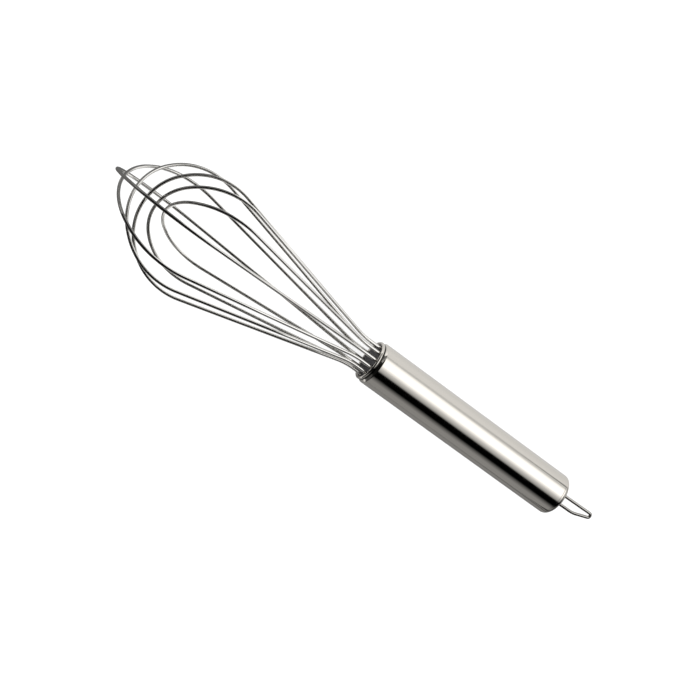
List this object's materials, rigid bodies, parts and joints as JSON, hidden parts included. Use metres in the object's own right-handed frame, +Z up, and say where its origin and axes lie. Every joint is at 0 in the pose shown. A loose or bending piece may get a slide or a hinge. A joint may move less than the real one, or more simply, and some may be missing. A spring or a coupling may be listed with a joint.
{
  "type": "balloon whisk",
  "caption": "Balloon whisk: nested wire loops held in a plug in a round steel tube handle, with a bent wire hanging loop that swivels in the end cap.",
  "frame": {"origin": "middle of the whisk's length and width, on the worktop that it lies on", "axes": "+X towards the wire tips, along the whisk seen from above; +Z up; the whisk's own axis rises 5.174 degrees from +X because it rests on the handle's butt and two wire loops"},
  "size_m": [0.2553, 0.0498, 0.0551],
  "materials": {
    "satin_steel": "fine polish along the tube, bright but not mirror smooth",
    "bright_wire": "drawn and polished wire",
    "plug_plastic": "dark moulded plastic, slightly glossy",
    "resin": "cast resin"
  },
  "bodies": {
    "whisk": {"handle_tube": "satin_steel", "end_cap": "satin_steel", "wire_holder": "plug_plastic", "resin_seal": "resin", "wire_loop_1": "bright_wire", "wire_loop_2": "bright_wire", "wire_loop_3": "bright_wire", "wire_loop_4": "bright_wire", "wire_loop_5": "bright_wire", "wire_loop_6": "bright_wire"},
    "hanging_loop": {"hanging_loop": "bright_wire"}
  },
  "joints": [
    {"name": "loop_swivel", "type": "hinge", "parent": "whisk", "child": "hanging_loop", "pos_m": [-0.10726, 0, 0.00931], "axis": [0.9959, 0, 0.0902], "continuous": true}
  ]
}
